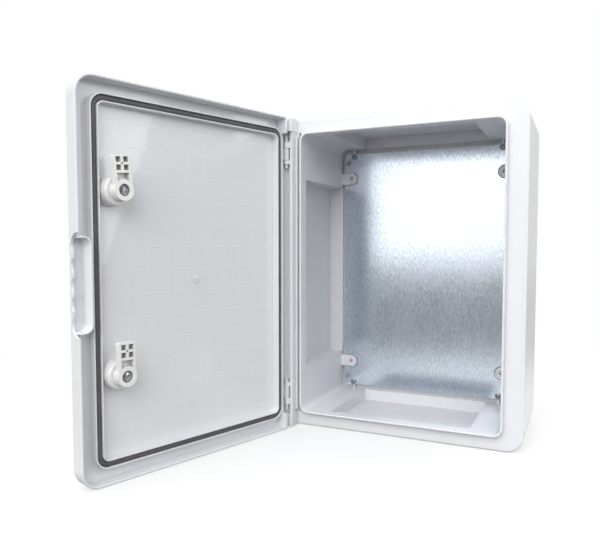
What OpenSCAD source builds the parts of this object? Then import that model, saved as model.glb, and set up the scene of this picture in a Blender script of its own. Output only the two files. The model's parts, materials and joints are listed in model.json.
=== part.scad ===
// Hinged plastic wall enclosure (junction box) with a galvanised mounting plate.
// Millimetres. The origin is the centre of the back face: X runs to the latch side,
// Y runs into the wall and Z runs up. The door is drawn closed and then swung open.

/* [Case] */
// Width of the case
body_w = 300; // [260:5:340]
// Height of the case
body_h = 400; // [360:5:460]
// Depth of the case behind the door
body_d = 150; // [120:5:200]
// Corner radius of the case and the door seen from the front
corner_r = 20; // [18:1:24]
// Rounding of the rear edges of the case
back_edge_r = 4; // [2:0.5:4]
// Thickness of the moulded walls
wall = 4; // [3.5:0.5:5]
// Rounding of the front edges of the flange
front_edge_r = 2; // [1:0.5:3]
// Thickness of the front flange around the opening
flange_t = 8; // [7.5:0.5:10]

/* [Opening and sealing lip] */
// Distance from the side of the case to the clear opening
side_margin = 24.6; // [24.2:0.2:27]
// Distance from the top or the bottom of the case to the clear opening
top_margin = 20; // [19.6:0.2:24]
// Corner radius of the clear opening
open_r = 9; // [8:0.5:12]
// Thickness of the sealing lip
lip_t = 2.5; // [2:0.1:3]
// Height of the sealing lip in front of the flange
lip_h = 8.5; // [7.5:0.1:9]

/* [Entry pockets] */
// Width of the corner columns beside the entry panels
column_w = 36.4; // [34.8:0.2:54]
// Height of the corner columns beside the entry panels
column_h = 56.5; // [54:0.1:70]
// Distance from the back face to the entry panels
pocket_rear = 7; // [6:0.5:12]

/* [Mounting plate] */
// Gap between the side of the mounting plate and the clear opening
plate_gap_x = 5.4; // [3.4:0.1:7.4]
// Gap between the end of the mounting plate and the clear opening
plate_gap_z = 7; // [5:0.1:9]
// Thickness of the mounting plate
plate_t = 2; // [1.5:0.1:3]
// Corner radius of the mounting plate
plate_r = 6; // [3:0.5:8]
// Height of the screw bosses that carry the plate
standoff = 7; // [6.5:0.5:12]
// Distance from the side of the plate to its edge slots
slot_in = 14.8; // [13:0.2:18]
// Distance from the end of the plate to its screws
screw_in = 4.3; // [4:0.1:6]
// Distance from the side of the plate to its fixing holes
hole_in_x = 5.7; // [5:0.1:7]
// Distance from the end of the plate to its fixing holes
hole_in_z = 12.7; // [12:0.1:16]
// Diameter of the fixing holes in the plate
hole_d = 7.5; // [4:0.5:8]
// Thread diameter of the plate screws
plate_screw_d = 4; // [3:0.5:5]

/* [Side posts] */
// Diameter of the round side posts
post_d = 16.8; // [14:0.2:18]
// Distance from the clear opening to the middle of a side post
post_in = 16.6; // [14.6:0.1:20]
// Height of a side post above the front of the plate
post_proud = 1.5; // [1:0.5:6]
// Distance from the end of an entry panel to the middle of a side post
post_up = 13.5; // [12:0.5:15]

/* [Wall fixing] */
// Distance from the sides of the case to the rear fixing holes
fix_in = 11; // [10:0.5:12]
// Diameter of the rear fixing holes
fix_d = 4.2; // [3:0.1:5]
// Depth of the rear fixing holes
fix_depth = 25; // [15:1:40]

/* [Hinge] */
// Angle of the open door from closed
open_angle = 107.5; // [0:0.5:120]
// Distance from the side of the case to the hinge axis
hinge_in = 6.5; // [6.5:0.1:7]
// Distance from the flange forward to the hinge axis
hinge_fwd = 12.6; // [12.4:0.1:13]
// Distance from the end of the case to the middle of a hinge
hinge_end = 45; // [42:1:70]
// Diameter of the hinge pins
pin_d = 4; // [3:0.1:4.4]
// Diameter of the hinge eyes
eye_d = 7; // [6.6:0.1:7.2]
// Length of the door's hinge eye
eye_len = 15; // [10:1:24]
// Height of the case blocks at the ends of the hinge side
block_h = 16.6; // [15:0.2:18]

/* [Door] */
// Depth of the door in front of the flange
door_d = 20; // [20:0.5:24]
// Thickness of the door panel
panel_t = 3; // [2.5:0.1:3.2]
// Thickness of the door rim
rim_t = 2.5; // [2:0.1:3.5]
// Rounding of the front edges of the door
door_edge_r = 4; // [2:0.5:5]
// Gap between the door rim and the flange
rim_gap = 0.7; // [0.5:0.1:1.5]
// Width of the sealing gasket
gasket_w = 6.2; // [5.4:0.1:6.8]
// Thickness of the two walls that hold the gasket
channel_t = 1.5; // [1.2:0.1:1.8]

/* [Finger grip] */
// Height of the finger grip in the free edge
grip_h = 94; // [70:1:120]
// Depth of the finger grip from the free edge
grip_in = 15.5; // [13:0.1:15.9]
// Depth of the edge that the fingers pull
grip_edge = 8; // [7:0.5:12]
// Number of finger scallops
scallop_n = 5; // [3:1:6]

/* [Latches] */
// Distance from the clear opening to the latches
latch_in = 19.4; // [19.4:0.1:22]
// Distance from the middle of the door to each latch
latch_z = 91.5; // [70:0.5:95]
// Diameter of the latch collar inside the door
collar_d = 30; // [26:0.2:30.2]
// Height of the latch collar
collar_h = 17; // [12:0.5:17]
// Diameter of the latch spindle
spindle_d = 10; // [8:0.5:11]
// Length of the cam lever from its axis
lever_len = 34.5; // [32:0.5:36]
// Width of the cam lever
lever_w = 18; // [16:0.5:19]
// Diameter of the round head of the cam lever
lever_head_d = 21; // [20:0.5:22]
// Thickness of the lever where it hooks behind the flange
lever_t = 7; // [5:0.1:7.5]
// Thickness of the flange where the lever hooks
keeper_t = 3; // [3:0.5:5]
// Turn of the upper cam lever from upright towards the free edge
top_turn = 5; // [0:1:30]

/* [Hidden] */
$fn = 64;

// Colours
abs_grey = [0.86, 0.86, 0.87];
latch_grey = [0.89, 0.88, 0.87];
gasket_grey = [0.30, 0.29, 0.31];
galvanised = [0.72, 0.76, 0.79];
zinc = [0.75, 0.76, 0.78];
brass_yellow = [0.78, 0.65, 0.35];

// Clearances
run_gap = 0.05;
seat_gap = 0.05;
face_gap = 0.2;
seal_gap = 0.4;
swing_gap = 0.4;
over = 1;

// Case
half_w = body_w / 2;
half_h = body_h / 2;
flange_y = -body_d;
open_w = body_w - 2 * side_margin;
open_h = body_h - 2 * top_margin;
lip_top_r = 1.1;
pocket_w = open_w - 2 * column_w;
pocket_h = open_h - 2 * column_h;

// Plate, screws and posts
plate_y = -wall - standoff;
plate_w = open_w - 2 * plate_gap_x;
plate_h = open_h - 2 * plate_gap_z;
screw_x = plate_w / 2 - slot_in;
screw_z = plate_h / 2 - screw_in;
boss_d = 10;
boss_web_t = 3;
insert_wall = 1;
insert_d = plate_screw_d + 2 * insert_wall;
insert_len = 6;
screw_head_d = 2 * plate_screw_d;
screw_head_h = 2.6;
screw_short = 1;
screw_len = plate_t + insert_len - screw_short;
slot_play = 0.5;
drive_span = 0.64;
drive_w = 1.2;
drive_depth = 1.2;
post_x = open_w / 2 - post_in;
post_z = pocket_h / 2 + post_up;
post_y = plate_y - plate_t - post_proud;
post_bore_d = 6;
post_bore_depth = 6;
post_groove_in = 9.4;
post_groove_out = 13;
post_groove_deep = 0.8;
notch_room = 1;
fix_boss_d = 12;
fix_x = half_w - fix_in;
fix_z = half_h - fix_in;

// Hinge
hinge_x = -half_w + hinge_in;
hinge_y = flange_y - hinge_fwd;
hinge_z = half_h - hinge_end;
eye_gap = 0.4;
upper_lug = 8;
lower_lug = 5;
pin_tail = 5;
pin_end_gap = 0.6;
hinge_wall_off = 6;
hinge_wall_x = hinge_x + hinge_wall_off;
hinge_wall_t = 3.5;
hinge_wall_fwd = 15.4;
shelf_w = 2.6;
shelf_fwd = 6;
lug_web_front = 2.5;
lug_web_back = 1.2;
groove_depth = 5;
block_reach = 10;
block_x = hinge_x + block_reach;
block_z = half_h - block_h;
block_sink = front_edge_r + over;
notch_gap = 1.4;
notch_x = block_x + notch_gap;
notch_z = block_z - notch_gap;
swing_r = notch_x - hinge_x - swing_gap;
ledge_t = 2.5;
pin_low = hinge_z - eye_len / 2 - eye_gap - lower_lug - pin_tail;
pin_high = notch_z - ledge_t - pin_end_gap;

// Door
door_y = flange_y - door_d;
panel_y = door_y + panel_t;
rim_y = flange_y - rim_gap;
rim_root_y = door_y + door_edge_r + over;
roll_r = hinge_in;
roll_t = 2.5;
roll_y = door_y + roll_r;
roll_past = 2;
roll_end_y = hinge_y + roll_past;
ledge_gap = 0.9;
ledge_y = flange_y - hinge_wall_fwd - ledge_gap;
channel_mid = lip_t / 2;
channel_lap = 0.9;
channel_y = flange_y - lip_h + channel_lap;
channel_top_r = 0.6;
rim_top_r = 1;
bead_flat = 0.8;
gasket_top_r = (gasket_w - 2 * seat_gap - bead_flat) / 2;
gasket_y = flange_y - lip_h - seal_gap;
gate_d = 10;
gate_h = 0.6;
gate_nub_d = 2.4;
gate_nub_h = 1.6;

// Finger grip
grip_wall = 2;
grip_top_r = 0.8;
grip_r = 9;
grip_w = 4 * grip_in;
grip_x = half_w - grip_in + grip_w / 2;
scallop_r = 12;
scallop_deep = 2;
scallop_pitch = (grip_h - 2 * grip_r) / (scallop_n - 1);

// Latches
latch_x = open_w / 2 - latch_in;
latch_hole_d = 20;
barrel_play = 0.3;
barrel_d = latch_hole_d - 2 * barrel_play;
latch_flange_d = 30;
latch_flange_t = 3;
seal_t = 1;
seal_d = 27;
cup_d = 16.6;
cup_depth = 4;
knob_d = 16;
knob_proud = 2.5;
knob_slot_w = 2.6;
knob_slot_depth = 3;
latch_front_y = door_y - seal_t - latch_flange_t;
collar_y = panel_y + collar_h;
barrel_short = 0.5;
barrel_end_y = collar_y - barrel_short;
collar_top_r = 2.5;
keeper_y = flange_y + keeper_t;
keeper_room = 2;
keeper_gap = 0.6;
lever_front_y = keeper_y + keeper_gap;
lever_y = lever_front_y + lever_t;
head_gap = 0.4;
head_front_y = collar_y + head_gap;
square_w = 7;
cam_washer_d = 11;
cam_washer_t = 0.8;
cam_screw_d = 5;
cam_screw_len = 12;
cam_head_d = 8.6;
cam_head_h = 2.4;
cam_floor_y = lever_y - cam_head_h - cam_washer_t;
square_y = cam_floor_y - face_gap;
head_pocket_d = 12;
lever_pocket = 5.2;
lever_floor = 1.4;
lever_pocket_depth = lever_t - lever_floor;
lever_pocket_step_x = 8.2;
lever_pocket_step_z = 7.8;
lever_pocket_end = 5;
lever_window_w = 13;
lever_window_top = 16.5;
lever_dot_d = 2;
lever_tip_r = 2.5;
lever_reach = norm([lever_len, lever_w / 2]);

// Rectangle with rounded corners, centred
module round_rect(w, h, r) {
    square([w - 2 * r, h], center = true);
    square([w, h - 2 * r], center = true);
    for (x = [-1, 1], z = [-1, 1])
        translate([x * (w / 2 - r), z * (h / 2 - r)])
            circle(r);
}

// Raises a front-view outline from y towards the front
module slab(y, t) {
    translate([0, y, 0])
        rotate([90, 0, 0])
            linear_extrude(t)
                children();
}

// Raises a plan-view outline from z upwards
module column(z, h) {
    translate([0, 0, z])
        linear_extrude(h)
            children();
}

// Round bar along Y from y towards the front
module bar(x, y, z, d, len) {
    translate([x, y, z])
        rotate([90, 0, 0])
            cylinder(d = d, h = len);
}

// Places children on both ends and both sides of the front view
module four_corners(x, z) {
    for (sx = [-1, 1], sz = [-1, 1])
        translate([sx * x, 0, sz * z])
            children();
}

// Quarter disc in the corner of the first quadrant
module quarter_disc(r) {
    intersection() {
        circle(r);
        square(r);
    }
}

// Slab with a rounded outline whose front edges are rounded too
module soft_slab(w, h, r, t, e) {
    slab(0, t - e)
        round_rect(w, h, r);
    translate([0, -(t - e), 0]) {
        slab(0, e) {
            square([w - 2 * r, h - 2 * e], center = true);
            square([w - 2 * e, h - 2 * r], center = true);
        }
        for (s = [0, 1])
            mirror([0, 0, s])
                translate([-(w / 2 - r), 0, h / 2 - e])
                    rotate([90, 0, 90])
                        linear_extrude(w - 2 * r)
                            mirror([1, 0])
                                quarter_disc(e);
        for (s = [0, 1])
            mirror([s, 0, 0])
                translate([w / 2 - e, 0, -(h / 2 - r)])
                    linear_extrude(h - 2 * r)
                        mirror([0, 1])
                            quarter_disc(e);
        for (sx = [0, 1], sz = [0, 1])
            mirror([sx, 0, 0])
                mirror([0, 0, sz])
                    translate([w / 2 - r, 0, h / 2 - r])
                        rotate([90, 0, 0])
                            rotate_extrude(angle = 90) {
                                square([r - e, e]);
                                translate([r - e, 0])
                                    quarter_disc(e);
                            }
    }
}

// Bar profile of width w and height h, centred, with a rounded top
module round_top(w, h, r) {
    translate([-w / 2, 0])
        square([w, h - r]);
    translate([-w / 2 + r, 0])
        square([w - 2 * r, h]);
    for (x = [-1, 1])
        translate([x * (w / 2 - r), h - r])
            circle(r);
}

// Sweeps a profile round a rounded rectangle: profile x runs outwards, profile y to the front
module swept_ring(w, h, r) {
    for (s = [0, 1])
        mirror([0, 0, s])
            translate([-(w / 2 - r), 0, h / 2])
                rotate([90, 0, 90])
                    linear_extrude(w - 2 * r)
                        rotate(90)
                            children();
    for (s = [0, 1])
        mirror([s, 0, 0])
            translate([w / 2, 0, -(h / 2 - r)])
                linear_extrude(h - 2 * r)
                    mirror([0, 1])
                        children();
    for (sx = [0, 1], sz = [0, 1])
        mirror([sx, 0, 0])
            mirror([0, 0, sz])
                translate([w / 2 - r, 0, h / 2 - r])
                    rotate([90, 0, 0])
                        rotate_extrude(angle = 90)
                            translate([r, 0])
                                children();
}

// Sweeps a profile along the clear opening grown outwards
module open_sweep(grow) {
    swept_ring(open_w + 2 * grow, open_h + 2 * grow, open_r + grow)
        children();
}

// Raises children from the inside of the door panel towards the case
module behind_panel() {
    translate([0, panel_y, 0])
        mirror([0, 1, 0])
            children();
}

// Outline of the case
module case_outline(inset = 0) {
    round_rect(body_w - 2 * inset, body_h - 2 * inset, corner_r - inset);
}

// Outline of the clear opening, grown outwards
module open_outline(grow = 0) {
    round_rect(open_w + 2 * grow, open_h + 2 * grow, open_r + grow);
}

// Thin entry panels, cut outwards from the clear opening
module entry_pockets() {
    slab(-pocket_rear, body_d - pocket_rear - flange_t) {
        square([body_w - 2 * wall, pocket_h], center = true);
        square([pocket_w, body_h - 2 * wall], center = true);
    }
}

// Hollow corner columns, open at the back
module corner_hollows() {
    slab(over, body_d - flange_t + over)
        difference() {
            case_outline(wall);
            open_outline(wall);
            square([pocket_w + 2 * wall, body_h], center = true);
            square([body_w, pocket_h + 2 * wall], center = true);
        }
}

// Screw bosses of the mounting plate with a web to the nearest wall
module plate_bosses() {
    web_h = open_h / 2 - screw_z + over;
    for (sz = [-1, 1], sx = [-1, 1])
        translate([sx * screw_x, 0, sz * screw_z]) {
            bar(0, -wall + over, 0, boss_d, standoff + over);
            translate([-boss_web_t / 2, plate_y, sz > 0 ? 0 : -web_h])
                cube([boss_web_t, standoff + over, web_h]);
        }
}

// Round side posts just in front of the plate, each with a lower web to the side wall
module side_posts() {
    four_corners(post_x, post_z)
        difference() {
            bar(0, -wall + over, 0, post_d, -wall - post_y + over);
            difference() {
                bar(0, post_y + post_groove_deep, 0, post_groove_out, post_groove_deep + over);
                bar(0, post_y + post_groove_deep + over, 0, post_groove_in, post_groove_deep + 3 * over);
            }
        }
    for (sx = [0, 1], sz = [-1, 1])
        mirror([sx, 0, 0])
            translate([post_x, plate_y - plate_t, sz * post_z - post_d / 2])
                cube([post_in + over, plate_t + standoff + over, post_d]);
}

// Plan outline of the case blocks at the ends of the hinge side
module block_plan() {
    translate([-half_w + roll_r, roll_y])
        circle(roll_r);
    translate([-half_w, roll_y])
        square([hinge_in, flange_y - roll_y + block_sink]);
    translate([hinge_x - over, hinge_y])
        square([block_x - hinge_x + over, hinge_fwd + block_sink]);
    intersection() {
        translate([hinge_x, hinge_y])
            circle(swing_r);
        translate([hinge_x - over, door_y])
            square([block_x - hinge_x + over, hinge_y - door_y + over]);
    }
}

// Case blocks at the top and the bottom of the hinge side
module hinge_blocks() {
    intersection() {
        for (s = [0, 1])
            mirror([0, 0, s])
                column(block_z, block_h)
                    block_plan();
        slab(flange_y + block_sink, door_d + block_sink)
            case_outline();
    }
}

// Standing wall behind the hinges with a shelf at its foot
module hinge_wall() {
    shelf_z = notch_z - ledge_t - ledge_gap;
    translate([hinge_wall_x, flange_y - hinge_wall_fwd, -block_z - over])
        cube([hinge_wall_t, hinge_wall_fwd + over, 2 * (block_z + over)]);
    translate([hinge_wall_x, flange_y - shelf_fwd, -shelf_z])
        cube([hinge_wall_t + shelf_w, shelf_fwd + over, 2 * shelf_z]);
}

// Narrow groove between the hinge shelf and the sealing lip
module hinge_groove() {
    groove_x = hinge_wall_x + hinge_wall_t + shelf_w;
    translate([groove_x, flange_y - over, -block_z])
        cube([-open_w / 2 - lip_t - over - groove_x, groove_depth + over, 2 * block_z]);
}

// Lug that holds a hinge pin, from z0 upwards
module hinge_lug(z0, len) {
    column(z0, len) {
        translate([hinge_x, hinge_y])
            circle(d = eye_d);
        translate([hinge_x, hinge_y - lug_web_front])
            square([hinge_wall_x - hinge_x + over, lug_web_front + lug_web_back]);
    }
}

// Upper and lower lug of both hinges
module hinge_lugs() {
    for (s = [0, 1])
        mirror([0, 0, s]) {
            hinge_lug(hinge_z + eye_len / 2 + eye_gap, upper_lug);
            hinge_lug(hinge_z - eye_len / 2 - eye_gap - lower_lug, lower_lug);
        }
}

// Bores on both hinge axes from z0 to z1, measured on the upper hinge
module pin_bores(z0, z1) {
    for (s = [0, 1])
        mirror([0, 0, s])
            translate([hinge_x, hinge_y, z0 - over])
                cylinder(d = pin_d + 2 * run_gap, h = z1 - z0 + 2 * over);
}

// Relief behind the flange where the latch cams swing and hook
module cam_keeper() {
    sweep = sqrt(pow(lever_reach, 2) - pow(latch_in, 2));
    keeper_z = latch_z + sweep + keeper_room;
    translate([open_w / 2 - over, keeper_y, -keeper_z])
        cube([side_margin - wall + over, flange_t - keeper_t + over, 2 * keeper_z]);
}

// Moulded case: walls, flange, sealing lip, posts, bosses and hinge lugs
module base_shell() {
    color(abs_grey)
        difference() {
            union() {
                difference() {
                    union() {
                        translate([0, flange_y / 2, 0]) {
                            soft_slab(body_w, body_h, corner_r, body_d / 2, front_edge_r);
                            mirror([0, 1, 0])
                                soft_slab(body_w, body_h, corner_r, body_d / 2, back_edge_r);
                        }
                        hinge_blocks();
                    }
                    slab(-wall, body_d)
                        open_outline();
                    entry_pockets();
                    cam_keeper();
                    corner_hollows();
                    hinge_groove();
                }
                translate([0, flange_y + over, 0])
                    open_sweep(lip_t / 2)
                        round_top(lip_t, lip_h + over, lip_top_r);
                hinge_wall();
                hinge_lugs();
                plate_bosses();
                side_posts();
                four_corners(fix_x, fix_z)
                    bar(0, 0, 0, fix_boss_d, fix_depth + wall);
            }
            pin_bores(pin_low, pin_high);
            four_corners(screw_x, screw_z)
                bar(0, plate_y + insert_len, 0, insert_d + 2 * seat_gap, insert_len + over);
            four_corners(post_x, post_z)
                bar(0, post_y + post_bore_depth, 0, post_bore_d, post_bore_depth + over);
            four_corners(fix_x, fix_z)
                bar(0, over, 0, fix_d, fix_depth + over);
        }
}

// Threaded brass inserts in the plate bosses
module plate_inserts() {
    color(brass_yellow)
        four_corners(screw_x, screw_z)
            difference() {
                bar(0, plate_y + insert_len, 0, insert_d, insert_len);
                bar(
                    0, plate_y + insert_len + over, 0,
                    plate_screw_d + 2 * seat_gap, insert_len + 2 * over
                );
            }
}

// Galvanised plate with edge slots for its screws and notches round the side posts
module mounting_plate() {
    slot_w = plate_screw_d + 2 * slot_play;
    notch_d = post_d + 2 * notch_room;
    color(galvanised)
        slab(plate_y, plate_t)
            difference() {
                round_rect(plate_w, plate_h, plate_r);
                for (sx = [-1, 1], sz = [-1, 1]) {
                    translate([sx * (plate_w / 2 - hole_in_x), sz * (plate_h / 2 - hole_in_z)])
                        circle(d = hole_d);
                    translate([sx * screw_x, sz * screw_z])
                        circle(d = slot_w);
                    translate([sx * screw_x - slot_w / 2, sz > 0 ? screw_z : -screw_z - screw_in - over])
                        square([slot_w, screw_in + over]);
                    translate([sx * post_x, sz * post_z])
                        circle(d = notch_d);
                    translate([sx > 0 ? post_x : -plate_w / 2 - over, sz * post_z - notch_d / 2])
                        square([plate_w / 2 - post_x + over, notch_d]);
                }
            }
}

// Pan-head screw along Y: the underside of the head is at y = 0 and faces the wall
module pan_screw(d, len, head_d, head_h) {
    difference() {
        union() {
            bar(0, len, 0, d, len);
            intersection() {
                bar(0, 0, 0, head_d, head_h);
                translate([0, head_d - head_h, 0])
                    sphere(r = head_d);
            }
        }
        for (a = [45, 135])
            rotate([0, a, 0])
                translate([-head_d * drive_span / 2, -head_h - over, -drive_w / 2])
                    cube([head_d * drive_span, drive_depth + over, drive_w]);
    }
}

// Four zinc screws that clamp the plate
module plate_screws() {
    color(zinc)
        four_corners(screw_x, screw_z)
            translate([0, plate_y - plate_t, 0])
                pan_screw(plate_screw_d, screw_len, screw_head_d, screw_head_h);
}

// Hinge pin through both lugs and the door's eye
module hinge_pin() {
    translate([hinge_x, hinge_y, pin_low])
        cylinder(d = pin_d, h = pin_high - pin_low);
}

module hinge_pin_top() {
    color(abs_grey)
        hinge_pin();
}

module hinge_pin_bottom() {
    color(abs_grey)
        mirror([0, 0, 1])
            hinge_pin();
}

// Swings what is drawn on the closed door to its open angle
module on_door() {
    translate([hinge_x, hinge_y, 0])
        rotate([0, 0, -open_angle])
            translate([-hinge_x, -hinge_y, 0])
                children();
}

// Front-view outline of the door's hollow behind its panel
module tray_outline() {
    intersection() {
        case_outline(rim_t);
        union() {
            translate([notch_x + ledge_t, -half_h])
                square([body_w, body_h]);
            translate([notch_x - over, -(notch_z - ledge_t)])
                square([body_w, 2 * (notch_z - ledge_t)]);
        }
    }
}

// Front-view outline of the walls beside the case blocks
module notch_walls() {
    intersection() {
        case_outline(rim_t / 2);
        for (z = [-half_h, notch_z - ledge_t])
            translate([notch_x, z])
                square([ledge_t, block_h + notch_gap + ledge_t]);
    }
}

// Plan outline of the rolled hinge edge of the door
module roll_plan() {
    difference() {
        translate([-half_w + roll_r, roll_y])
            circle(roll_r);
        translate([-half_w + roll_r, roll_y])
            circle(roll_r - roll_t);
        translate([-half_w + roll_r, door_y - over])
            square([roll_r + over, door_d]);
        translate([-half_w - over, roll_y])
            square([2 * roll_r + 2 * over, door_d]);
    }
    translate([-half_w, roll_y])
        square([roll_t, roll_end_y - roll_y]);
    translate([-half_w + roll_r, door_y])
        square([notch_x + half_w - roll_r + over, panel_t]);
}

// Plan outline of the ledges that close the rolled edge at its ends
module ledge_plan() {
    intersection() {
        translate([-half_w + roll_r, roll_y])
            circle(roll_r);
        translate([-half_w, door_y])
            square([roll_r, roll_r]);
    }
    translate([-half_w, roll_y])
        square([roll_r, roll_end_y - roll_y]);
    translate([-half_w + roll_r, door_y])
        square([notch_x + half_w - roll_r + over, ledge_y - door_y]);
}

// Wall of the finger grip seen from the front
module grip_outline(inset = 0) {
    translate([grip_x, 0])
        round_rect(grip_w - 2 * inset, grip_h - 2 * inset, grip_r - inset);
}

// Door's hinge eye with its web to the panel
module door_eye() {
    column(hinge_z - eye_len / 2, eye_len) {
        translate([hinge_x, hinge_y])
            circle(d = eye_d);
        translate([hinge_x - eye_d / 2, panel_y - over])
            square([eye_d, hinge_y - panel_y + over]);
    }
}

// Door tray: panel, rim, gasket channel, rolled hinge edge, finger grip and hinge eyes
module door_shell() {
    tray_d = rim_y - panel_y;
    color(abs_grey)
        on_door()
            difference() {
                union() {
                    difference() {
                        union() {
                            difference() {
                                translate([0, rim_root_y, 0])
                                    soft_slab(body_w, body_h, corner_r, rim_root_y - door_y, door_edge_r);
                                slab(rim_y, tray_d)
                                    tray_outline();
                            }
                            translate([0, rim_root_y, 0])
                                mirror([0, 1, 0])
                                    swept_ring(body_w - rim_t, body_h - rim_t, corner_r - rim_t / 2)
                                        round_top(rim_t, rim_y - rim_root_y, rim_top_r);
                        }
                        translate([-half_w - over, door_y - over, -half_h - over])
                            cube([notch_x + half_w + over, door_d + 2 * over, body_h + 2 * over]);
                        slab(rim_y + over, tray_d - grip_edge + panel_t + over)
                            grip_outline(grip_wall);
                    }
                    slab(rim_y, tray_d + over)
                        notch_walls();
                    column(-notch_z, 2 * notch_z)
                        roll_plan();
                    for (s = [0, 1])
                        mirror([0, 0, s]) {
                            column(notch_z - ledge_t, ledge_t)
                                ledge_plan();
                            door_eye();
                        }
                    behind_panel()
                        for (side = [-1, 1])
                            open_sweep(channel_mid + side * (gasket_w + channel_t) / 2)
                                translate([0, -over])
                                    round_top(channel_t, channel_y - panel_y + over, channel_top_r);
                    intersection() {
                        behind_panel()
                            translate([grip_x, 0, 0])
                                swept_ring(grip_w - grip_wall, grip_h - grip_wall, grip_r - grip_wall / 2)
                                    translate([0, -over])
                                        round_top(grip_wall, tray_d + over, grip_top_r);
                        slab(rim_y + over, door_d)
                            case_outline();
                    }
                    bar(0, panel_y + gate_h, 0, gate_d, gate_h + over);
                    bar(0, panel_y + gate_nub_h, 0, gate_nub_d, gate_nub_h + over);
                }
                pin_bores(hinge_z - eye_len / 2, hinge_z + eye_len / 2);
                for (s = [-1, 1])
                    bar(latch_x, panel_y + over, s * latch_z, latch_hole_d, panel_t + 2 * over);
                for (i = [0 : scallop_n - 1])
                    translate([
                        half_w - rim_t - over,
                        door_y + grip_edge + scallop_r - scallop_deep,
                        (i - (scallop_n - 1) / 2) * scallop_pitch
                    ])
                        rotate([0, 90, 0])
                            cylinder(r = scallop_r, h = rim_t + 2 * over);
            }
}

// Rubber gasket in the door's channel
module door_gasket() {
    color(gasket_grey)
        on_door()
            behind_panel()
                open_sweep(channel_mid)
                    round_top(gasket_w - 2 * seat_gap, gasket_y - panel_y, gasket_top_r);
}

// Places what is drawn on the Y axis on a latch axis, turned as that latch stands
module on_latch(z) {
    on_door()
        translate([latch_x, 0, z])
            rotate([0, z > 0 ? top_turn : 0, 0])
                children();
}

// Latch housing: front flange and barrel through the door panel
module latch_housing(z) {
    color(latch_grey)
        on_latch(z)
            difference() {
                union() {
                    bar(0, door_y - seal_t, 0, latch_flange_d, latch_flange_t);
                    bar(0, barrel_end_y, 0, barrel_d, barrel_end_y - door_y + seal_t + over);
                }
                bar(0, latch_front_y + cup_depth, 0, cup_d, cup_depth + over);
                bar(
                    0, barrel_end_y + over, 0,
                    spindle_d + 2 * run_gap, barrel_end_y - latch_front_y + over
                );
            }
}

// Flat seal between the housing flange and the door
module latch_seal(z) {
    color(gasket_grey)
        on_latch(z)
            difference() {
                bar(0, door_y, 0, seal_d, seal_t);
                bar(0, door_y + over, 0, barrel_d + 2 * seat_gap, seal_t + 2 * over);
            }
}

// Round collar that clamps the housing inside the door
module latch_collar(z) {
    color(latch_grey)
        on_latch(z)
            translate([0, panel_y, 0])
                rotate([-90, 0, 0])
                    rotate_extrude()
                        difference() {
                            round_top(collar_d, collar_h, collar_top_r);
                            translate([-collar_d, -over])
                                square([collar_d + barrel_d / 2 + seat_gap, collar_h + 2 * over]);
                        }
}

// Turning spindle: slotted knob, round shaft and square end
module latch_spindle(z) {
    knob_y = latch_front_y + cup_depth - face_gap;
    knob_h = cup_depth - face_gap + knob_proud;
    color(latch_grey)
        on_latch(z)
            difference() {
                union() {
                    bar(0, knob_y, 0, knob_d, knob_h);
                    bar(0, head_front_y, 0, spindle_d, head_front_y - knob_y + over);
                    slab(square_y, square_y - head_front_y + over)
                        square(square_w, center = true);
                }
                translate([-knob_d, knob_y - knob_h - over, -knob_slot_w / 2])
                    cube([2 * knob_d, knob_slot_depth + over, knob_slot_w]);
                bar(0, square_y + over, 0, cam_screw_d + 2 * seat_gap, cam_screw_len + 2 * over);
            }
}

// Front-view shape of the two rows of pockets in the cam lever
module lever_pockets() {
    for (sx = [-1, 1], i = [0, 1])
        translate([sx * lever_pocket_step_x / 2, lever_len - lever_pocket_end - i * lever_pocket_step_z])
            square(lever_pocket, center = true);
    difference() {
        translate([-lever_window_w / 2, 0])
            square([lever_window_w, lever_window_top]);
        circle(d = lever_head_d);
    }
}

// Cam lever, drawn pointing up
module latch_cam(z) {
    color(latch_grey)
        on_latch(z)
            difference() {
                union() {
                    bar(0, lever_y, 0, lever_head_d, lever_y - head_front_y);
                    slab(lever_y, lever_t)
                        translate([0, lever_len / 2])
                            round_rect(lever_w, lever_len, lever_tip_r);
                }
                slab(cam_floor_y + over, cam_floor_y - head_front_y + 2 * over)
                    square(square_w + 2 * seat_gap, center = true);
                bar(0, lever_y + over, 0, head_pocket_d, lever_y - cam_floor_y + over);
                slab(lever_y + over, lever_pocket_depth + over)
                    lever_pockets();
                bar(
                    0, lever_y + over, lever_len - lever_pocket_end - lever_pocket_step_z / 2,
                    lever_dot_d, lever_pocket_depth / 2 + over
                );
            }
}

// Washer under the cam screw
module cam_washer(z) {
    color(zinc)
        on_latch(z)
            difference() {
                bar(0, cam_floor_y + cam_washer_t, 0, cam_washer_d, cam_washer_t);
                bar(0, lever_y, 0, cam_screw_d + 2 * seat_gap, lever_y - cam_floor_y + over);
            }
}

// Screw that holds the cam on the spindle; its head faces the inside of the case
module cam_screw(z) {
    color(zinc)
        on_latch(z)
            translate([0, lever_y - cam_head_h, 0])
                mirror([0, 1, 0])
                    pan_screw(cam_screw_d, cam_screw_len, cam_head_d, cam_head_h);
}

module latch_housing_top() { latch_housing(latch_z); }
module latch_housing_bottom() { latch_housing(-latch_z); }
module latch_seal_top() { latch_seal(latch_z); }
module latch_seal_bottom() { latch_seal(-latch_z); }
module latch_collar_top() { latch_collar(latch_z); }
module latch_collar_bottom() { latch_collar(-latch_z); }
module latch_spindle_top() { latch_spindle(latch_z); }
module latch_spindle_bottom() { latch_spindle(-latch_z); }
module latch_cam_top() { latch_cam(latch_z); }
module latch_cam_bottom() { latch_cam(-latch_z); }
module cam_washer_top() { cam_washer(latch_z); }
module cam_washer_bottom() { cam_washer(-latch_z); }
module cam_screw_top() { cam_screw(latch_z); }
module cam_screw_bottom() { cam_screw(-latch_z); }

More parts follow.
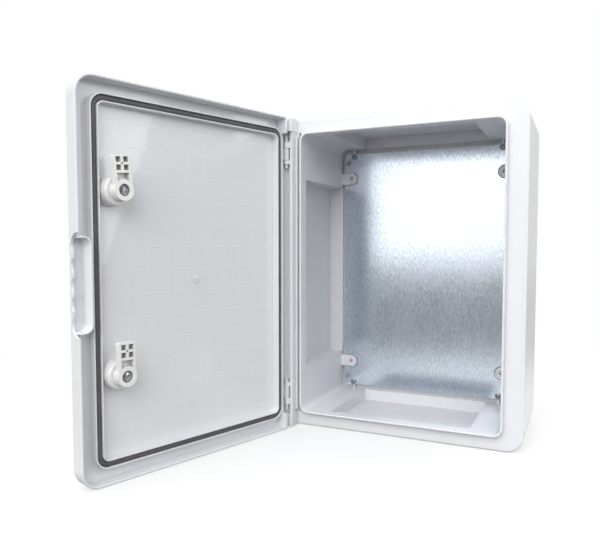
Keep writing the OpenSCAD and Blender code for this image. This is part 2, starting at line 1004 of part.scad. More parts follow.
base_shell();
plate_inserts();
mounting_plate();
plate_screws();
hinge_pin_top();
hinge_pin_bottom();
door_shell();
door_gasket();
latch_housing_top();
latch_housing_bottom();
latch_seal_top();
latch_seal_bottom();
latch_collar_top();
latch_collar_bottom();
latch_spindle_top();
latch_spindle_bottom();
latch_cam_top();
latch_cam_bottom();
cam_washer_top();
cam_washer_bottom();
cam_screw_top();
cam_screw_bottom();
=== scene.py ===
"""Finishes, door grid and studio of a hinged plastic wall enclosure."""
import json
import math

import bpy
from bpy.props import FloatProperty, FloatVectorProperty, IntProperty, PointerProperty
from mathutils import Euler, Matrix, Vector


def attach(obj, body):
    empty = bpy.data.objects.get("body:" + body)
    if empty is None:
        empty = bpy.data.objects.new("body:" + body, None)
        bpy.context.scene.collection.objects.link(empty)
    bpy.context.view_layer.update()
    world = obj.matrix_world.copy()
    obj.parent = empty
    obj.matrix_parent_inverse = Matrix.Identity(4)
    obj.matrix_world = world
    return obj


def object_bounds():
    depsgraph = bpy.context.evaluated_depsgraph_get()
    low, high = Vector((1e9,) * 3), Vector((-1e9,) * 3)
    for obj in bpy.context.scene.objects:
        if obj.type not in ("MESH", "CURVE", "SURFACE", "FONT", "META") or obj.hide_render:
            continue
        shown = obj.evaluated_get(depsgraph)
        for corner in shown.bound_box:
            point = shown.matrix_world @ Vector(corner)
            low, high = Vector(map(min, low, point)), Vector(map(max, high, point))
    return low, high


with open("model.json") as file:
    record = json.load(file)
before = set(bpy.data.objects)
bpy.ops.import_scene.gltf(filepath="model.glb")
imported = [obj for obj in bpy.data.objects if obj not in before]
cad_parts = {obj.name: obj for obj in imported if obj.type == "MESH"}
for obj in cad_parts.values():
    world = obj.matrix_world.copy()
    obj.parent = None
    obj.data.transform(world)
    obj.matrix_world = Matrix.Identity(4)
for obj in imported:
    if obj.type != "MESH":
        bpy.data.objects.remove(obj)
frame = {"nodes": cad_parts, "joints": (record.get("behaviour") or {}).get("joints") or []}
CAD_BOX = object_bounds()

bl_info = {
    "name": "Hinged wall enclosure",
    "version": (1, 0, 0),
    "blender": (4, 5, 0),
    "location": "View3D > Sidebar > Enclosure",
    "description": "Finishes a hinged plastic enclosure with a galvanised mounting plate",
    "category": "Object",
}

# The hinge axis points down, so the angle of the shut end is the turn about Z from shut to open.
HINGE = next(j for j in frame["joints"] if j["name"] == "door_hinge")
HINGE_POINT = Vector(HINGE["pos_m"])
OPEN_ANGLE = math.radians(HINGE["range_deg"][0])
DOOR_INSIDE = (-math.sin(OPEN_ANGLE), math.cos(OPEN_ANGLE), 0.0)


# Sizes and colours
class PlasticSettings(bpy.types.PropertyGroup):
    """Moulded plastic of the case, the door and the latches."""

    case_colour: FloatVectorProperty(
        name="Case colour", description="Colour of the case and the door",
        subtype="COLOR", size=3, min=0.0, max=1.0, default=(0.738, 0.744, 0.770),
    )
    latch_colour: FloatVectorProperty(
        name="Latch colour", description="Colour of the latch pieces",
        subtype="COLOR", size=3, min=0.0, max=1.0, default=(0.790, 0.786, 0.778),
    )
    satin: FloatProperty(
        name="Satin roughness", description="Roughness of the case and of the door's other faces",
        subtype="FACTOR", min=0.0, max=1.0, default=0.34,
    )
    polish: FloatProperty(
        name="Polished roughness", description="Roughness of the inside of the door panel",
        subtype="FACTOR", min=0.0, max=1.0, default=0.05,
    )
    grain: FloatProperty(
        name="Grain size", description="Size of the moulded grain",
        unit="LENGTH", min=0.0001, default=0.0009,
    )
    edge: FloatProperty(
        name="Edge rounding", description="Radius of the soft moulded edges",
        unit="LENGTH", min=0.0, default=0.0006,
    )


class MetalSettings(bpy.types.PropertyGroup):
    """Galvanised plate, zinc screws and brass inserts."""

    plate_colour: FloatVectorProperty(
        name="Plate colour", description="Colour of the galvanised plate",
        subtype="COLOR", size=3, min=0.0, max=1.0, default=(0.765, 0.85, 0.975),
    )
    haze_colour: FloatVectorProperty(
        name="Plate haze", description="Colour of the pale haze on the zinc coat",
        subtype="COLOR", size=3, min=0.0, max=1.0, default=(0.79, 0.81, 0.95),
    )
    zinc_colour: FloatVectorProperty(
        name="Zinc colour", description="Colour of the cam screws",
        subtype="COLOR", size=3, min=0.0, max=1.0, default=(0.46, 0.47, 0.50),
    )
    # The cam washers take this colour darkened, as painted shade round the cam screw heads.
    screw_colour: FloatVectorProperty(
        name="Plate screw colour", description="Colour of the plate screws and, darker, the cam washers",
        subtype="COLOR", size=3, min=0.0, max=1.0, default=(0.34, 0.35, 0.37),
    )
    brass_colour: FloatVectorProperty(
        name="Brass colour", description="Colour of the threaded inserts",
        subtype="COLOR", size=3, min=0.0, max=1.0, default=(0.74, 0.55, 0.25),
    )
    spangle: FloatProperty(
        name="Spangle size", description="Size of the zinc crystals on the plate",
        unit="LENGTH", min=0.0005, default=0.002,
    )


class GasketSettings(bpy.types.PropertyGroup):
    """Foamed rubber of the gasket and the flat seals."""

    colour: FloatVectorProperty(
        name="Rubber colour", description="Colour of the gasket and the seals",
        subtype="COLOR", size=3, min=0.0, max=1.0, default=(0.088, 0.083, 0.093),
    )
    cell: FloatProperty(
        name="Cell size", description="Size of the pores in the rubber",
        unit="LENGTH", min=0.0001, default=0.0007,
    )


class GridSettings(bpy.types.PropertyGroup):
    """Fine raised lines on the inside of the door panel."""

    columns: IntProperty(
        name="Columns", description="Number of upright lines", min=2, default=10,
    )
    rows: IntProperty(
        name="Rows", description="Number of level lines", min=2, default=14,
    )
    pitch: FloatProperty(
        name="Pitch", description="Distance between neighbouring lines",
        unit="LENGTH", min=0.001, default=0.025,
    )
    width: FloatProperty(
        name="Line width", description="Diameter of a line's rounded section",
        unit="LENGTH", min=0.0001, default=0.0007,
    )
    proud: FloatProperty(
        name="Line height", description="Height of a line above the panel",
        unit="LENGTH", min=0.0, default=0.00012,
    )
    ring: FloatProperty(
        name="Ring", description="Diameter of the ring round the gate mark",
        unit="LENGTH", min=0.001, default=0.017,
    )
    panel_y: FloatProperty(
        name="Panel face", description="Place of the panel's inner face on the closed door",
        unit="LENGTH", default=-0.167,
    )


class StudioSettings(bpy.types.PropertyGroup):
    """Lamps, floor and room light."""

    front: FloatProperty(
        name="Front softbox", description="Power of the softbox that the plate mirrors",
        subtype="POWER", unit="POWER", min=0.0, default=1.6,
    )
    key: FloatProperty(
        name="Key softbox", description="Power of the broad softbox above and behind the camera",
        subtype="POWER", unit="POWER", min=0.0, default=30.5,
    )
    side: FloatProperty(
        name="Side softbox", description="Power of the softbox that the door's panel mirrors",
        subtype="POWER", unit="POWER", min=0.0, default=4.1,
    )
    rear: FloatProperty(
        name="Rear softbox", description="Power of the softbox behind the latch side",
        subtype="POWER", unit="POWER", min=0.0, default=4.2,
    )
    room: FloatProperty(
        name="Room light", description="Strength of the broad light from the front of the room",
        min=0.0, default=1.6,
    )
    mirror: FloatProperty(
        name="Mirrored room", description="Strength of the room where gloss and metal mirror it",
        min=0.0, default=0.2,
    )
    floor_colour: FloatVectorProperty(
        name="Floor colour", description="Colour of the plain floor",
        subtype="COLOR", size=3, min=0.0, max=1.0, default=(0.88, 0.88, 0.88),
    )


# Shader maths
class Sock:
    """Output socket that takes part in arithmetic."""

    def __init__(self, graph, socket):
        self.graph = graph
        self.socket = socket

    def _math(self, operation, first, second):
        return self.graph.node("ShaderNodeMath", {"operation": operation}, {0: first, 1: second})[0]

    def __add__(self, other):
        return self._math("ADD", self, other)

    def __radd__(self, other):
        return self._math("ADD", other, self)

    def __sub__(self, other):
        return self._math("SUBTRACT", self, other)

    def __rsub__(self, other):
        return self._math("SUBTRACT", other, self)

    def __mul__(self, other):
        return self._math("MULTIPLY", self, other)

    def __rmul__(self, other):
        return self._math("MULTIPLY", other, self)

    def at_least(self, other):
        return self._math("MAXIMUM", self, other)

    def ramp(self, low, high):
        """0 below low, 1 above high, smooth between them."""
        return self.graph.node(
            "ShaderNodeMapRange", {"interpolation_type": "SMOOTHSTEP"},
            {"Value": self, "From Min": low, "From Max": high},
        )[0]

    def about(self, swing):
        """Noise between 0 and 1 as a change of up to half of swing either way."""
        return (self - 0.5) * swing


class Made:
    """A node whose outputs are read as Sock by name or number."""

    def __init__(self, graph, node):
        self.graph = graph
        self.node = node

    def __getitem__(self, key):
        return Sock(self.graph, self.node.outputs[key])


def grey(colour, times):
    """Colour scaled in brightness, with full alpha."""
    return tuple(min(1.0, c * times) for c in colour) + (1.0,)


class Graph:
    """Node tree that is filled by plain calls."""

    def __init__(self, tree):
        self.tree = tree
        tree.nodes.clear()

    def node(self, kind, settings=None, sockets=None):
        made = self.tree.nodes.new(kind)
        for key, value in (settings or {}).items():
            setattr(made, key, value)
        for key, value in (sockets or {}).items():
            if isinstance(value, Sock):
                self.tree.links.new(value.socket, made.inputs[key])
            else:
                made.inputs[key].default_value = value
        return Made(self, made)

    def mix(self, factor, first, second):
        """Colour mix. The node's colours are inputs 6 and 7 and output 2."""
        return self.node("ShaderNodeMix", {"data_type": "RGBA"}, {0: factor, 6: first, 7: second})[2]

    def shades(self, factor, colour, low, high):
        """Mix of two brightnesses of one colour."""
        return self.mix(factor, grey(colour, low), grey(colour, high))

    def along(self, first, second):
        """Dot product."""
        return self.node(
            "ShaderNodeVectorMath", {"operation": "DOT_PRODUCT"}, {0: first, 1: second},
        )["Value"]

    def noise(self, place, size, detail, rough=0.5):
        """Noise whose blotches are about one size across."""
        return self.node(
            "ShaderNodeTexNoise", None,
            {"Vector": place, "Scale": 1.0 / size, "Detail": detail, "Roughness": rough},
        )["Fac"]

    def cells(self, place, size):
        """Cells about one size across."""
        return self.node(
            "ShaderNodeTexVoronoi", {"feature": "F1"}, {"Vector": place, "Scale": 1.0 / size},
        )

    def by_ray(self):
        """Light Path outputs: 1 where a ray shows the background, and 1 on glossy rays."""
        path = self.node("ShaderNodeLightPath")
        return path["Is Camera Ray"].at_least(path["Is Transmission Ray"]), path["Is Glossy Ray"]


BEVEL_SAMPLES = 6
EDGE_BENDS, EDGE_SHARE = (0.01, 0.22), 0.5
# Samples, ramp and share of the painted shade in pockets and grooves.
SHADE_SAMPLES = 8
PAINTED_SHADE_RAMP, PAINTED_SHADE_SHARE = (0.2, 0.95), 0.6


class Finish(Graph):
    """Material of one finish with a Principled surface."""

    def __init__(self, name):
        self.material = bpy.data.materials.new(name)
        self.material.use_nodes = True
        super().__init__(self.material.node_tree)
        self.coords = self.node("ShaderNodeTexCoord")
        self.place = self.coords["Object"]

    def soft_edges(self, radius):
        """Rounded normal at sharp edges, and a mask that is 1 on them."""
        rounded = self.node("ShaderNodeBevel", {"samples": BEVEL_SAMPLES}, {"Radius": radius})["Normal"]
        flat = self.node("ShaderNodeNewGeometry")["Normal"]
        return rounded, (1.0 - self.along(rounded, flat)).ramp(*EDGE_BENDS)

    def painted_hollow_shade(self, reach):
        """Painted shade: a mask that nears 1 where the piece's own walls stand close all round, to darken
        the colour there.
        """
        free = self.node(
            "ShaderNodeAmbientOcclusion", {"samples": SHADE_SAMPLES, "only_local": True},
            {"Distance": reach},
        )["AO"]
        return (1.0 - free).ramp(*PAINTED_SHADE_RAMP)

    def bump(self, height, depth, normal, strength):
        return self.node(
            "ShaderNodeBump", None,
            {"Height": height, "Distance": depth, "Strength": strength, "Normal": normal},
        )["Normal"]

    def surface(self, **sockets):
        names = {key.replace("_", " "): value for key, value in sockets.items()}
        made = self.node("ShaderNodeBsdfPrincipled", None, names)
        self.node("ShaderNodeOutputMaterial", None, {"Surface": made["BSDF"]})
        return self.material


# Moulded plastic. Tones are times the finish's colour, and sizes and depths are in metres.
PLASTIC_IOR = 1.5
CLOUD_SIZE, CLOUD_TONES = 0.06, (0.985, 1.012)
SCUFF_SIZE = 0.004
# The second tone here is painted shade: the colour darkened in pockets and grooves.
PLASTIC_EDGE_TONE, PAINTED_SHADE_TONE = 0.97, 0.4
ROUGH_SWING, EDGE_POLISH = 0.05, 0.04
FACING_COSINES = (0.8, 0.95)
GRAIN_DEPTH, GRAIN_STRENGTH = 0.00001, 0.5
POLISHED_GRAIN = 0.15


def moulded_plastic(name, colour, satin, settings, polish=None, facing=None, shade_reach=None):
    """Moulded plastic: satin, with polish on the faces that look along facing, and, when a reach is given,
    painted shade that darkens its pockets and grooves.
    """
    f = Finish(name)
    rounded, edge = f.soft_edges(settings.edge)
    cloud = f.noise(f.place, CLOUD_SIZE, detail=3.0)
    grain = f.noise(f.place, settings.grain, detail=2.0, rough=0.6)
    scuff = f.noise(f.place, SCUFF_SIZE, detail=4.0, rough=0.7)
    rough, height = satin, grain
    if facing is not None:
        matt = 1.0 - f.along(f.coords["Normal"], facing).ramp(*FACING_COSINES)
        rough = polish + (satin - polish) * matt
        height = grain * (POLISHED_GRAIN + (1.0 - POLISHED_GRAIN) * matt)
    tone = f.shades(cloud, colour, *CLOUD_TONES)
    tone = f.mix(edge * EDGE_SHARE, tone, grey(colour, PLASTIC_EDGE_TONE))
    # Painted shade: darker colour where the piece's own walls close round.
    if shade_reach is not None:
        tone = f.mix(f.painted_hollow_shade(shade_reach) * PAINTED_SHADE_SHARE, tone, grey(colour, PAINTED_SHADE_TONE))
    rough = rough + cloud.about(ROUGH_SWING) + scuff.about(ROUGH_SWING) - edge * EDGE_POLISH
    normal = f.bump(height, GRAIN_DEPTH, rounded, GRAIN_STRENGTH)
    return f.surface(Base_Color=tone, Roughness=rough, Normal=normal, IOR=PLASTIC_IOR)


# Rubber
RUBBER_EDGE, RUBBER_EDGE_SHARE, RUBBER_EDGE_TONE = 0.0006, 0.35, 1.6
BLOOM_SIZE, BLOOM_RAMP, BLOOM_TONES = 0.012, (0.35, 0.75), (0.88, 1.25)
RUBBER_ROUGH, BLOOM_ROUGH = 0.42, 0.2
PORE_DEPTH, PORE_STRENGTH = 0.00012, 0.6


def foamed_rubber(name, settings):
    """Dark rubber with fine pores and a dusty bloom."""
    f = Finish(name)
    rounded, edge = f.soft_edges(RUBBER_EDGE)
    pores = f.cells(f.place, settings.cell)["Distance"]
    bloom = f.noise(f.place, BLOOM_SIZE, detail=4.0, rough=0.65)
    tone = f.shades(bloom.ramp(*BLOOM_RAMP), settings.colour, *BLOOM_TONES)
    tone = f.mix(edge * RUBBER_EDGE_SHARE, tone, grey(settings.colour, RUBBER_EDGE_TONE))
    rough = RUBBER_ROUGH + bloom * BLOOM_ROUGH
    normal = f.bump(pores, PORE_DEPTH, rounded, PORE_STRENGTH)
    return f.surface(Base_Color=tone, Roughness=rough, Normal=normal)


# Galvanised sheet
SHEET_EDGE, SHEET_EDGE_TONE = 0.0003, 1.15
STREAK_STRETCH = (1.0, 1.0, 0.22)
STREAK_SIZE, STREAK_RAMP = 0.0012, (0.28, 0.72)
STREAK_SHARE, SPANGLE_SHARE = 0.75, 0.25
SPANGLE_WEIGHTS = (0.4, 0.3, 0.3)
ZINC_TONES = (0.71, 1.12)
HAZE_SIZE, HAZE_RAMP, HAZE_SHARE = 0.05, (0.4, 0.7), 0.4
SHEET_ROUGH, SPANGLE_SWING, HAZE_SWING = 0.20, 0.03, 0.05
STREAK_DEPTH, STREAK_STRENGTH = 0.00001, 0.15


def galvanised_sheet(name, settings):
    """Zinc-coated sheet: small spangle and fine upright rolling streaks."""
    f = Finish(name)
    rounded, edge = f.soft_edges(SHEET_EDGE)
    stretched = f.node(
        "ShaderNodeMapping", None, {"Vector": f.place, "Scale": STREAK_STRETCH},
    )["Vector"]
    streak = f.noise(stretched, STREAK_SIZE, detail=1.0).ramp(*STREAK_RAMP)
    spangle = f.along(f.cells(stretched, settings.spangle)["Color"], SPANGLE_WEIGHTS)
    haze = f.noise(f.place, HAZE_SIZE, detail=3.0)
    tone = f.shades(
        streak * STREAK_SHARE + spangle * SPANGLE_SHARE, settings.plate_colour, *ZINC_TONES,
    )
    tone = f.mix(haze.ramp(*HAZE_RAMP) * HAZE_SHARE, tone, grey(settings.haze_colour, 1.0))
    tone = f.mix(edge * EDGE_SHARE, tone, grey(settings.plate_colour, SHEET_EDGE_TONE))
    rough = SHEET_ROUGH + spangle.about(SPANGLE_SWING) + haze.about(HAZE_SWING)
    normal = f.bump(streak, STREAK_DEPTH, rounded, STREAK_STRENGTH)
    return f.surface(Base_Color=tone, Roughness=rough, Normal=normal, Metallic=1.0)


# Screws, washers and inserts
METAL_EDGE, METAL_EDGE_TONE = 0.00025, 1.2
MARK_SIZE, MARK_SWING = 0.0006, 0.16
STAIN_SIZE, STAIN_RAMP, STAIN_TONES, STAIN_SWING = 0.005, (0.3, 0.7), (0.86, 1.06), 0.10
MARK_DEPTH, MARK_STRENGTH = 0.00002, 0.5


def plated_metal(name, colour, roughness):
    """Bright plated or turned metal with fine tool marks."""
    f = Finish(name)
    rounded, edge = f.soft_edges(METAL_EDGE)
    marks = f.noise(f.place, MARK_SIZE, detail=3.0, rough=0.6)
    stain = f.noise(f.place, STAIN_SIZE, detail=3.0)
    tone = f.shades(stain.ramp(*STAIN_RAMP), colour, *STAIN_TONES)
    tone = f.mix(edge * EDGE_SHARE, tone, grey(colour, METAL_EDGE_TONE))
    rough = roughness + marks.about(MARK_SWING) + stain.about(STAIN_SWING)
    normal = f.bump(marks, MARK_DEPTH, rounded, MARK_STRENGTH)
    return f.surface(Base_Color=tone, Roughness=rough, Normal=normal, Metallic=1.0)


# Pieces
PLATE_SCREW_ROUGH, INSERT_ROUGH = 0.32, 0.28
# The latch reach sets how far the painted shade in pockets and grooves spreads.
LATCH_ROUGH, LATCH_SHADE_REACH = 0.26, 0.006
CAM_SCREW_ROUGH = 0.28
# The washer tone is painted shade: it darkens the washers to show the shadow ring round the screws.
CAM_WASHER_ROUGH, CAM_WASHER_SHADE_TONE = 0.4, 0.6
# The line tone is a painted highlight: a lighter copy of the case colour so the lines read as lit.
LINE_ROUGH, LINE_HIGHLIGHT_TONE = 0.3, 1.1


def dress(material, *nodes):
    """Gives carried-over nodes their finish."""
    for name in nodes:
        piece = frame["nodes"][name]
        if not piece.material_slots:
            raise RuntimeError(f"{name} has no material slot")
        for slot in piece.material_slots:
            slot.material = material


def both(*stems):
    """Names of the top and the bottom piece of each stem."""
    return [f"{stem}_{end}" for stem in stems for end in ("top", "bottom")]


class ENCLOSURE_OT_case(bpy.types.Operator):
    """Finish the moulded case and the hinge pins"""

    bl_idname = "enclosure.case"
    bl_label = "Case"

    def execute(self, context):
        s = context.scene.enclosure_plastic
        dress(
            moulded_plastic("case_plastic_satin", s.case_colour, s.satin, s),
            "base_shell", *both("hinge_pin"),
        )
        return {"FINISHED"}


class ENCLOSURE_OT_door(bpy.types.Operator):
    """Finish the door, polished on the inside of its panel"""

    bl_idname = "enclosure.door"
    bl_label = "Door"

    def execute(self, context):
        s = context.scene.enclosure_plastic
        dress(
            moulded_plastic("door_plastic", s.case_colour, s.satin, s, s.polish, DOOR_INSIDE),
            "door_shell",
        )
        return {"FINISHED"}


class ENCLOSURE_OT_gasket(bpy.types.Operator):
    """Finish the door gasket and the flat latch seals"""

    bl_idname = "enclosure.gasket"
    bl_label = "Gasket"

    def execute(self, context):
        dress(
            foamed_rubber("gasket_foam", context.scene.enclosure_gasket),
            "door_gasket", *both("latch_seal"),
        )
        return {"FINISHED"}


class ENCLOSURE_OT_plate(bpy.types.Operator):
    """Finish the mounting plate, its screws and its inserts"""

    bl_idname = "enclosure.plate"
    bl_label = "Mounting plate"

    def execute(self, context):
        s = context.scene.enclosure_metal
        dress(galvanised_sheet("galvanised_sheet", s), "mounting_plate")
        dress(plated_metal("plate_screw_zinc", s.screw_colour, PLATE_SCREW_ROUGH), "plate_screws")
        dress(plated_metal("turned_brass", s.brass_colour, INSERT_ROUGH), "plate_inserts")
        return {"FINISHED"}


class ENCLOSURE_OT_latches(bpy.types.Operator):
    """Finish the latch housings, collars, spindles, cams, washers and screws"""

    bl_idname = "enclosure.latches"
    bl_label = "Latches"

    def execute(self, context):
        s = context.scene.enclosure_plastic
        m = context.scene.enclosure_metal
        dress(
            moulded_plastic(
                "latch_plastic", s.latch_colour, LATCH_ROUGH, s, shade_reach=LATCH_SHADE_REACH,
            ),
            *both("latch_housing", "latch_collar", "latch_spindle", "latch_cam"),
        )
        dress(plated_metal("cam_screw_zinc", m.zinc_colour, CAM_SCREW_ROUGH), *both("cam_screw"))
        # Painted shade: the washers are darkened to stand for the shadow between washer and recess.
        washer_shade_colour = grey(m.screw_colour, CAM_WASHER_SHADE_TONE)[:3]
        dress(plated_metal("cam_washer_zinc", washer_shade_colour, CAM_WASHER_ROUGH), *both("cam_washer"))
        return {"FINISHED"}


SECTION_SIDES = 10
RING_SIDES = 48


def grid_tree():
    """Geometry nodes of a grid of fine rounded lines and a ring, laid out on the X-Z plane."""
    tree = bpy.data.node_groups.new("panel_line_grid", "GeometryNodeTree")
    sockets = {}
    for name, kind in (
        ("Columns", "NodeSocketInt"), ("Rows", "NodeSocketInt"), ("Pitch", "NodeSocketFloat"),
        ("Radius", "NodeSocketFloat"), ("Ring", "NodeSocketFloat"),
        ("Place", "NodeSocketVector"), ("Turn", "NodeSocketRotation"),
        ("Material", "NodeSocketMaterial"),
    ):
        sockets[name] = tree.interface.new_socket(name, in_out="INPUT", socket_type=kind).identifier
    tree.interface.new_socket("Lines", in_out="OUTPUT", socket_type="NodeSocketGeometry")
    g = Graph(tree)
    given = g.node("NodeGroupInput")

    def make(kind, **values):
        named = {key.replace("_", " "): value for key, value in values.items()}
        return g.node(kind, None, named)[0]

    def point(x, z):
        return g.node("ShaderNodeCombineXYZ", None, {"X": x, "Z": z})[0]

    section = make("GeometryNodeCurvePrimitiveCircle", Resolution=SECTION_SIDES, Radius=given["Radius"])
    half_w = (given["Columns"] - 1.0) * given["Pitch"] * 0.5
    half_h = (given["Rows"] - 1.0) * given["Pitch"] * 0.5
    left, right = point(-1.0 * half_w, 0.0), point(half_w, 0.0)
    low, high = point(0.0, -1.0 * half_h), point(0.0, half_h)
    sets = []
    for count, step, first, start, end in (
        (given["Columns"], point(given["Pitch"], 0.0), left, low, high),
        (given["Rows"], point(0.0, given["Pitch"]), low, left, right),
    ):
        path = make("GeometryNodeCurvePrimitiveLine", Start=start, End=end)
        line = make(
            "GeometryNodeCurveToMesh", Curve=path, Profile_Curve=section, Fill_Caps=True,
        )
        places = make("GeometryNodeMeshLine", Count=count, Start_Location=first, Offset=step)
        sets.append(make("GeometryNodeInstanceOnPoints", Points=places, Instance=line))
    ring = make("GeometryNodeCurvePrimitiveCircle", Resolution=RING_SIDES, Radius=given["Ring"])
    upright = make("GeometryNodeTransform", Geometry=ring, Rotation=(math.pi / 2, 0.0, 0.0))
    sets.append(make("GeometryNodeCurveToMesh", Curve=upright, Profile_Curve=section))
    joined = g.node("GeometryNodeJoinGeometry")
    for lines in sets:
        tree.links.new(lines.socket, joined.node.inputs[0])
    solid = make("GeometryNodeRealizeInstances", Geometry=joined[0])
    placed = make(
        "GeometryNodeTransform",
        Geometry=solid, Translation=given["Place"], Rotation=given["Turn"],
    )
    coated = make("GeometryNodeSetMaterial", Geometry=placed, Material=given["Material"])
    g.node("NodeGroupOutput", None, {0: coated})
    return tree, sockets


class ENCLOSURE_OT_panel_grid(bpy.types.Operator):
    """Lay the fine raised lines on the inside of the door panel"""

    bl_idname = "enclosure.panel_grid"
    bl_label = "Panel lines"

    def execute(self, context):
        s = context.scene.enclosure_grid
        p = context.scene.enclosure_plastic
        tree, sockets = grid_tree()
        carrier = bpy.data.objects.new("panel_line_carrier", bpy.data.meshes.new("panel_line_carrier"))
        context.scene.collection.objects.link(carrier)
        modifier = carrier.modifiers.new("lines", "NODES")
        modifier.node_group = tree
        turn = Euler((0.0, 0.0, OPEN_ANGLE))
        sunk = s.panel_y + s.proud - s.width / 2
        place = HINGE_POINT + turn.to_matrix() @ (Vector((0.0, sunk, 0.0)) - HINGE_POINT)
        # Painted highlight: the lines take the case colour made lighter.
        lit_line_colour = grey(p.case_colour, LINE_HIGHLIGHT_TONE)[:3]
        values = {
            "Columns": s.columns, "Rows": s.rows, "Pitch": s.pitch, "Radius": s.width / 2,
            "Ring": s.ring / 2, "Place": place, "Turn": turn,
            "Material": moulded_plastic("panel_line_plastic", lit_line_colour, LINE_ROUGH, p),
        }
        for name, value in values.items():
            modifier[sockets[name]] = value
        context.view_layer.update()
        shape = carrier.evaluated_get(context.evaluated_depsgraph_get())
        mesh = bpy.data.meshes.new_from_object(shape)
        if not mesh.polygons:
            raise RuntimeError("the panel lines have no faces")
        mesh.name = "door_panel_lines"
        lines = bpy.data.objects.new("door_panel_lines", mesh)
        context.scene.collection.objects.link(lines)
        bpy.data.objects.remove(carrier)
        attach(lines, "door")
        return {"FINISHED"}


# Studio. The camera's turn is yaw, pitch and roll in degrees.
CAMERA_TURN = (25.314, -3.314, -0.018)
CAMERA_PLACE = (0.207635, -0.865011, 0.038082)
CAMERA_LENS, CAMERA_SENSOR, CAMERA_CLIP = 36.062, 36.0, 0.01

# Size, place, aim and roll in degrees of each softbox. The studio settings hold their powers.
SOFTBOXES = {
    "front": ((0.75, 0.43), (-0.32, -1.55, 0.18), (0.0, -0.1, 0.05), 0.0),
    "key": ((2.2, 1.6), (0.3, -2.3, 1.3), (0.0, -0.15, 0.0), 0.0),
    "side": ((0.55, 0.95), (1.15, -0.23, 0.51), (0.15, -0.23, 0.51), -19.0),
    "rear": ((0.6, 0.8), (1.0, 0.6, 0.2), (0.15, -0.07, 0.0), 0.0),
}

# The floor fades to white with the distance from the part. Its tones are times the floor's colour.
FLOOR_GAP, FLOOR_REACH = 0.0005, 4.0
FLOOR_FADE, FLOOR_LIFT = (0.3, 0.95), 0.45
DUST_SIZE, DUST_TONES = 0.05, (0.985, 1.015)
MIRRORED_FADE, MIRRORED_TONES = (0.25, 0.72), (1.02, 0.22)
BOUNCE_TONES = (0.33, 0.09)

# The room's light comes from three sides over a low even level.
FRONT_SIDE, LEFT_SIDE, BACK_SIDE = (0.0, -0.9, 0.43), (-0.9, 0.1, 0.42), (0.0, 0.85, 0.53)
SIDE_RAMP, BACK_RAMP = (0.0, 1.0), (-0.35, 0.9)
ROOM_LOW, LEFT_LIGHT, BACK_LIGHT, BACK_MIRRORED = 0.04, 0.5, 0.65, 0.4
WHITE = (1.0, 1.0, 1.0, 1.0)


def softbox(name, size, place, aim, roll, power):
    """Rectangular lamp that looks at a point, rolled by an angle in degrees."""
    lamp = bpy.data.lights.new(name, "AREA")
    lamp.shape = "RECTANGLE"
    lamp.size, lamp.size_y = size
    lamp.energy = power
    box = bpy.data.objects.new(name, lamp)
    box.location = place
    look = (Vector(aim) - Vector(place)).to_track_quat("-Z", "Y").to_matrix()
    box.rotation_euler = (look @ Matrix.Rotation(math.radians(roll), 3, "Z")).to_euler()
    bpy.context.scene.collection.objects.link(box)


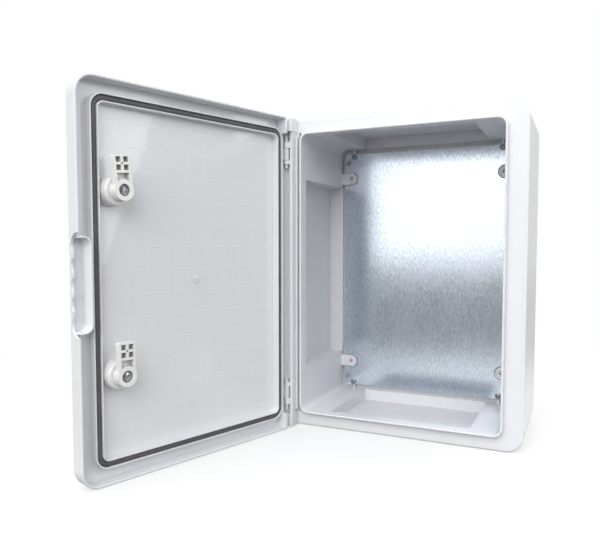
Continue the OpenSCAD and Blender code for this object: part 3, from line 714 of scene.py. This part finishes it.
class ENCLOSURE_OT_studio(bpy.types.Operator):
    """Set up the camera, the pale floor, the room light and the softboxes"""

    bl_idname = "enclosure.studio"
    bl_label = "Studio"

    def execute(self, context):
        s = context.scene.enclosure_studio
        self.camera(context)
        self.floor(context, s)
        self.room(context, s)
        for name, stand in SOFTBOXES.items():
            softbox(f"{name}_softbox", *stand, getattr(s, name))
        context.scene.view_settings.view_transform = "Standard"
        return {"FINISHED"}

    def camera(self, context):
        yaw, pitch, roll = (math.radians(angle) for angle in CAMERA_TURN)
        ahead = math.cos(pitch)
        forward = Vector((-math.sin(yaw) * ahead, math.cos(yaw) * ahead, math.sin(pitch)))
        level = Vector((math.cos(yaw), math.sin(yaw), 0.0))
        rise = level.cross(forward)
        right = level * math.cos(roll) + rise * math.sin(roll)
        up = right.cross(forward)
        data = bpy.data.cameras.new("photo_camera")
        data.sensor_fit = "HORIZONTAL"
        data.sensor_width = CAMERA_SENSOR
        data.lens = CAMERA_LENS
        data.clip_start = CAMERA_CLIP
        camera = bpy.data.objects.new("photo_camera", data)
        turn = Matrix((right, up, -forward)).transposed().to_4x4()
        camera.matrix_world = Matrix.Translation(CAMERA_PLACE) @ turn
        context.scene.collection.objects.link(camera)
        context.scene.camera = camera

    def floor(self, context, s):
        z = CAD_BOX[0].z - FLOOR_GAP
        corners = [
            (x * FLOOR_REACH, y * FLOOR_REACH, z) for x, y in ((-1, -1), (1, -1), (1, 1), (-1, 1))
        ]
        mesh = bpy.data.meshes.new("studio_floor")
        mesh.from_pydata(corners, [], [(0, 1, 2, 3)])
        floor = bpy.data.objects.new("studio_floor", mesh)
        context.scene.collection.objects.link(floor)
        material = bpy.data.materials.new("studio_floor")
        material.use_nodes = True
        mesh.materials.append(material)
        g = Graph(material.node_tree)
        seen, glossy = g.by_ray()
        place = g.node("ShaderNodeTexCoord")["Object"]
        distance = g.node("ShaderNodeVectorMath", {"operation": "LENGTH"}, {0: place})["Value"]
        far = distance.ramp(*FLOOR_FADE)

        def matt(colour):
            return g.node("ShaderNodeBsdfDiffuse", None, {"Color": colour})["BSDF"]

        def either(factor, first, second):
            return g.node("ShaderNodeMixShader", None, {0: factor, 1: first, 2: second})[0]

        dusty = g.shades(g.noise(place, DUST_SIZE, detail=3.0), s.floor_colour, *DUST_TONES)
        white = g.node("ShaderNodeEmission", None, {"Strength": 1.0})["Emission"]
        lifted = either(FLOOR_LIFT + (1.0 - FLOOR_LIFT) * far, matt(dusty), white)
        mirrored = g.shades(distance.ramp(*MIRRORED_FADE), s.floor_colour, *MIRRORED_TONES)
        bounce = g.shades(far, s.floor_colour, *BOUNCE_TONES)
        dim = matt(g.mix(glossy, bounce, mirrored))
        g.node("ShaderNodeOutputMaterial", None, {"Surface": either(seen, dim, lifted)})

    def room(self, context, s):
        world = bpy.data.worlds.new("studio_room")
        context.scene.world = world
        world.use_nodes = True
        g = Graph(world.node_tree)
        seen, glossy = g.by_ray()
        toward = g.node("ShaderNodeTexCoord")["Generated"]
        front = g.along(toward, FRONT_SIDE).ramp(*SIDE_RAMP)
        left = g.along(toward, LEFT_SIDE).ramp(*SIDE_RAMP)
        back = g.along(toward, BACK_SIDE).ramp(*BACK_RAMP)
        lit = ROOM_LOW + front * s.room + left * LEFT_LIGHT + back * BACK_LIGHT
        level = lit * (1.0 - glossy) + (s.mirror + back * BACK_MIRRORED) * glossy
        even = g.node("ShaderNodeBackground", None, {"Strength": level})[0]
        white = g.node("ShaderNodeBackground", None, {"Color": WHITE, "Strength": 1.0})[0]
        mixed = g.node("ShaderNodeMixShader", None, {0: seen, 1: even, 2: white})[0]
        g.node("ShaderNodeOutputWorld", None, {"Surface": mixed})


class ENCLOSURE_PT_panel(bpy.types.Panel):
    """Shows the sizes, colours and powers, and the buttons of the steps"""

    bl_idname = "ENCLOSURE_PT_panel"
    bl_label = "Hinged enclosure"
    bl_space_type = "VIEW_3D"
    bl_region_type = "UI"
    bl_category = "Enclosure"

    def draw(self, context):
        for name, kind in SETTINGS.items():
            box = self.layout.box()
            for prop in kind.__annotations__:
                box.prop(getattr(context.scene, name), prop)
        for kind in OPERATORS:
            self.layout.operator(kind.bl_idname)


SETTINGS = {
    "enclosure_plastic": PlasticSettings,
    "enclosure_metal": MetalSettings,
    "enclosure_gasket": GasketSettings,
    "enclosure_grid": GridSettings,
    "enclosure_studio": StudioSettings,
}
OPERATORS = (
    ENCLOSURE_OT_studio,
    ENCLOSURE_OT_case,
    ENCLOSURE_OT_door,
    ENCLOSURE_OT_gasket,
    ENCLOSURE_OT_plate,
    ENCLOSURE_OT_latches,
    ENCLOSURE_OT_panel_grid,
)


def register():
    for kind in (*SETTINGS.values(), *OPERATORS, ENCLOSURE_PT_panel):
        bpy.utils.register_class(kind)
    for name, kind in SETTINGS.items():
        setattr(bpy.types.Scene, name, PointerProperty(type=kind))


def unregister():
    for name in SETTINGS:
        delattr(bpy.types.Scene, name)
    for kind in reversed((*SETTINGS.values(), *OPERATORS, ENCLOSURE_PT_panel)):
        bpy.utils.unregister_class(kind)


def main():
    register()
    bpy.ops.enclosure.studio()
    bpy.ops.enclosure.case()
    bpy.ops.enclosure.door()
    bpy.ops.enclosure.gasket()
    bpy.ops.enclosure.plate()
    bpy.ops.enclosure.latches()
    bpy.ops.enclosure.panel_grid()


if __name__ == "__main__":
    main()
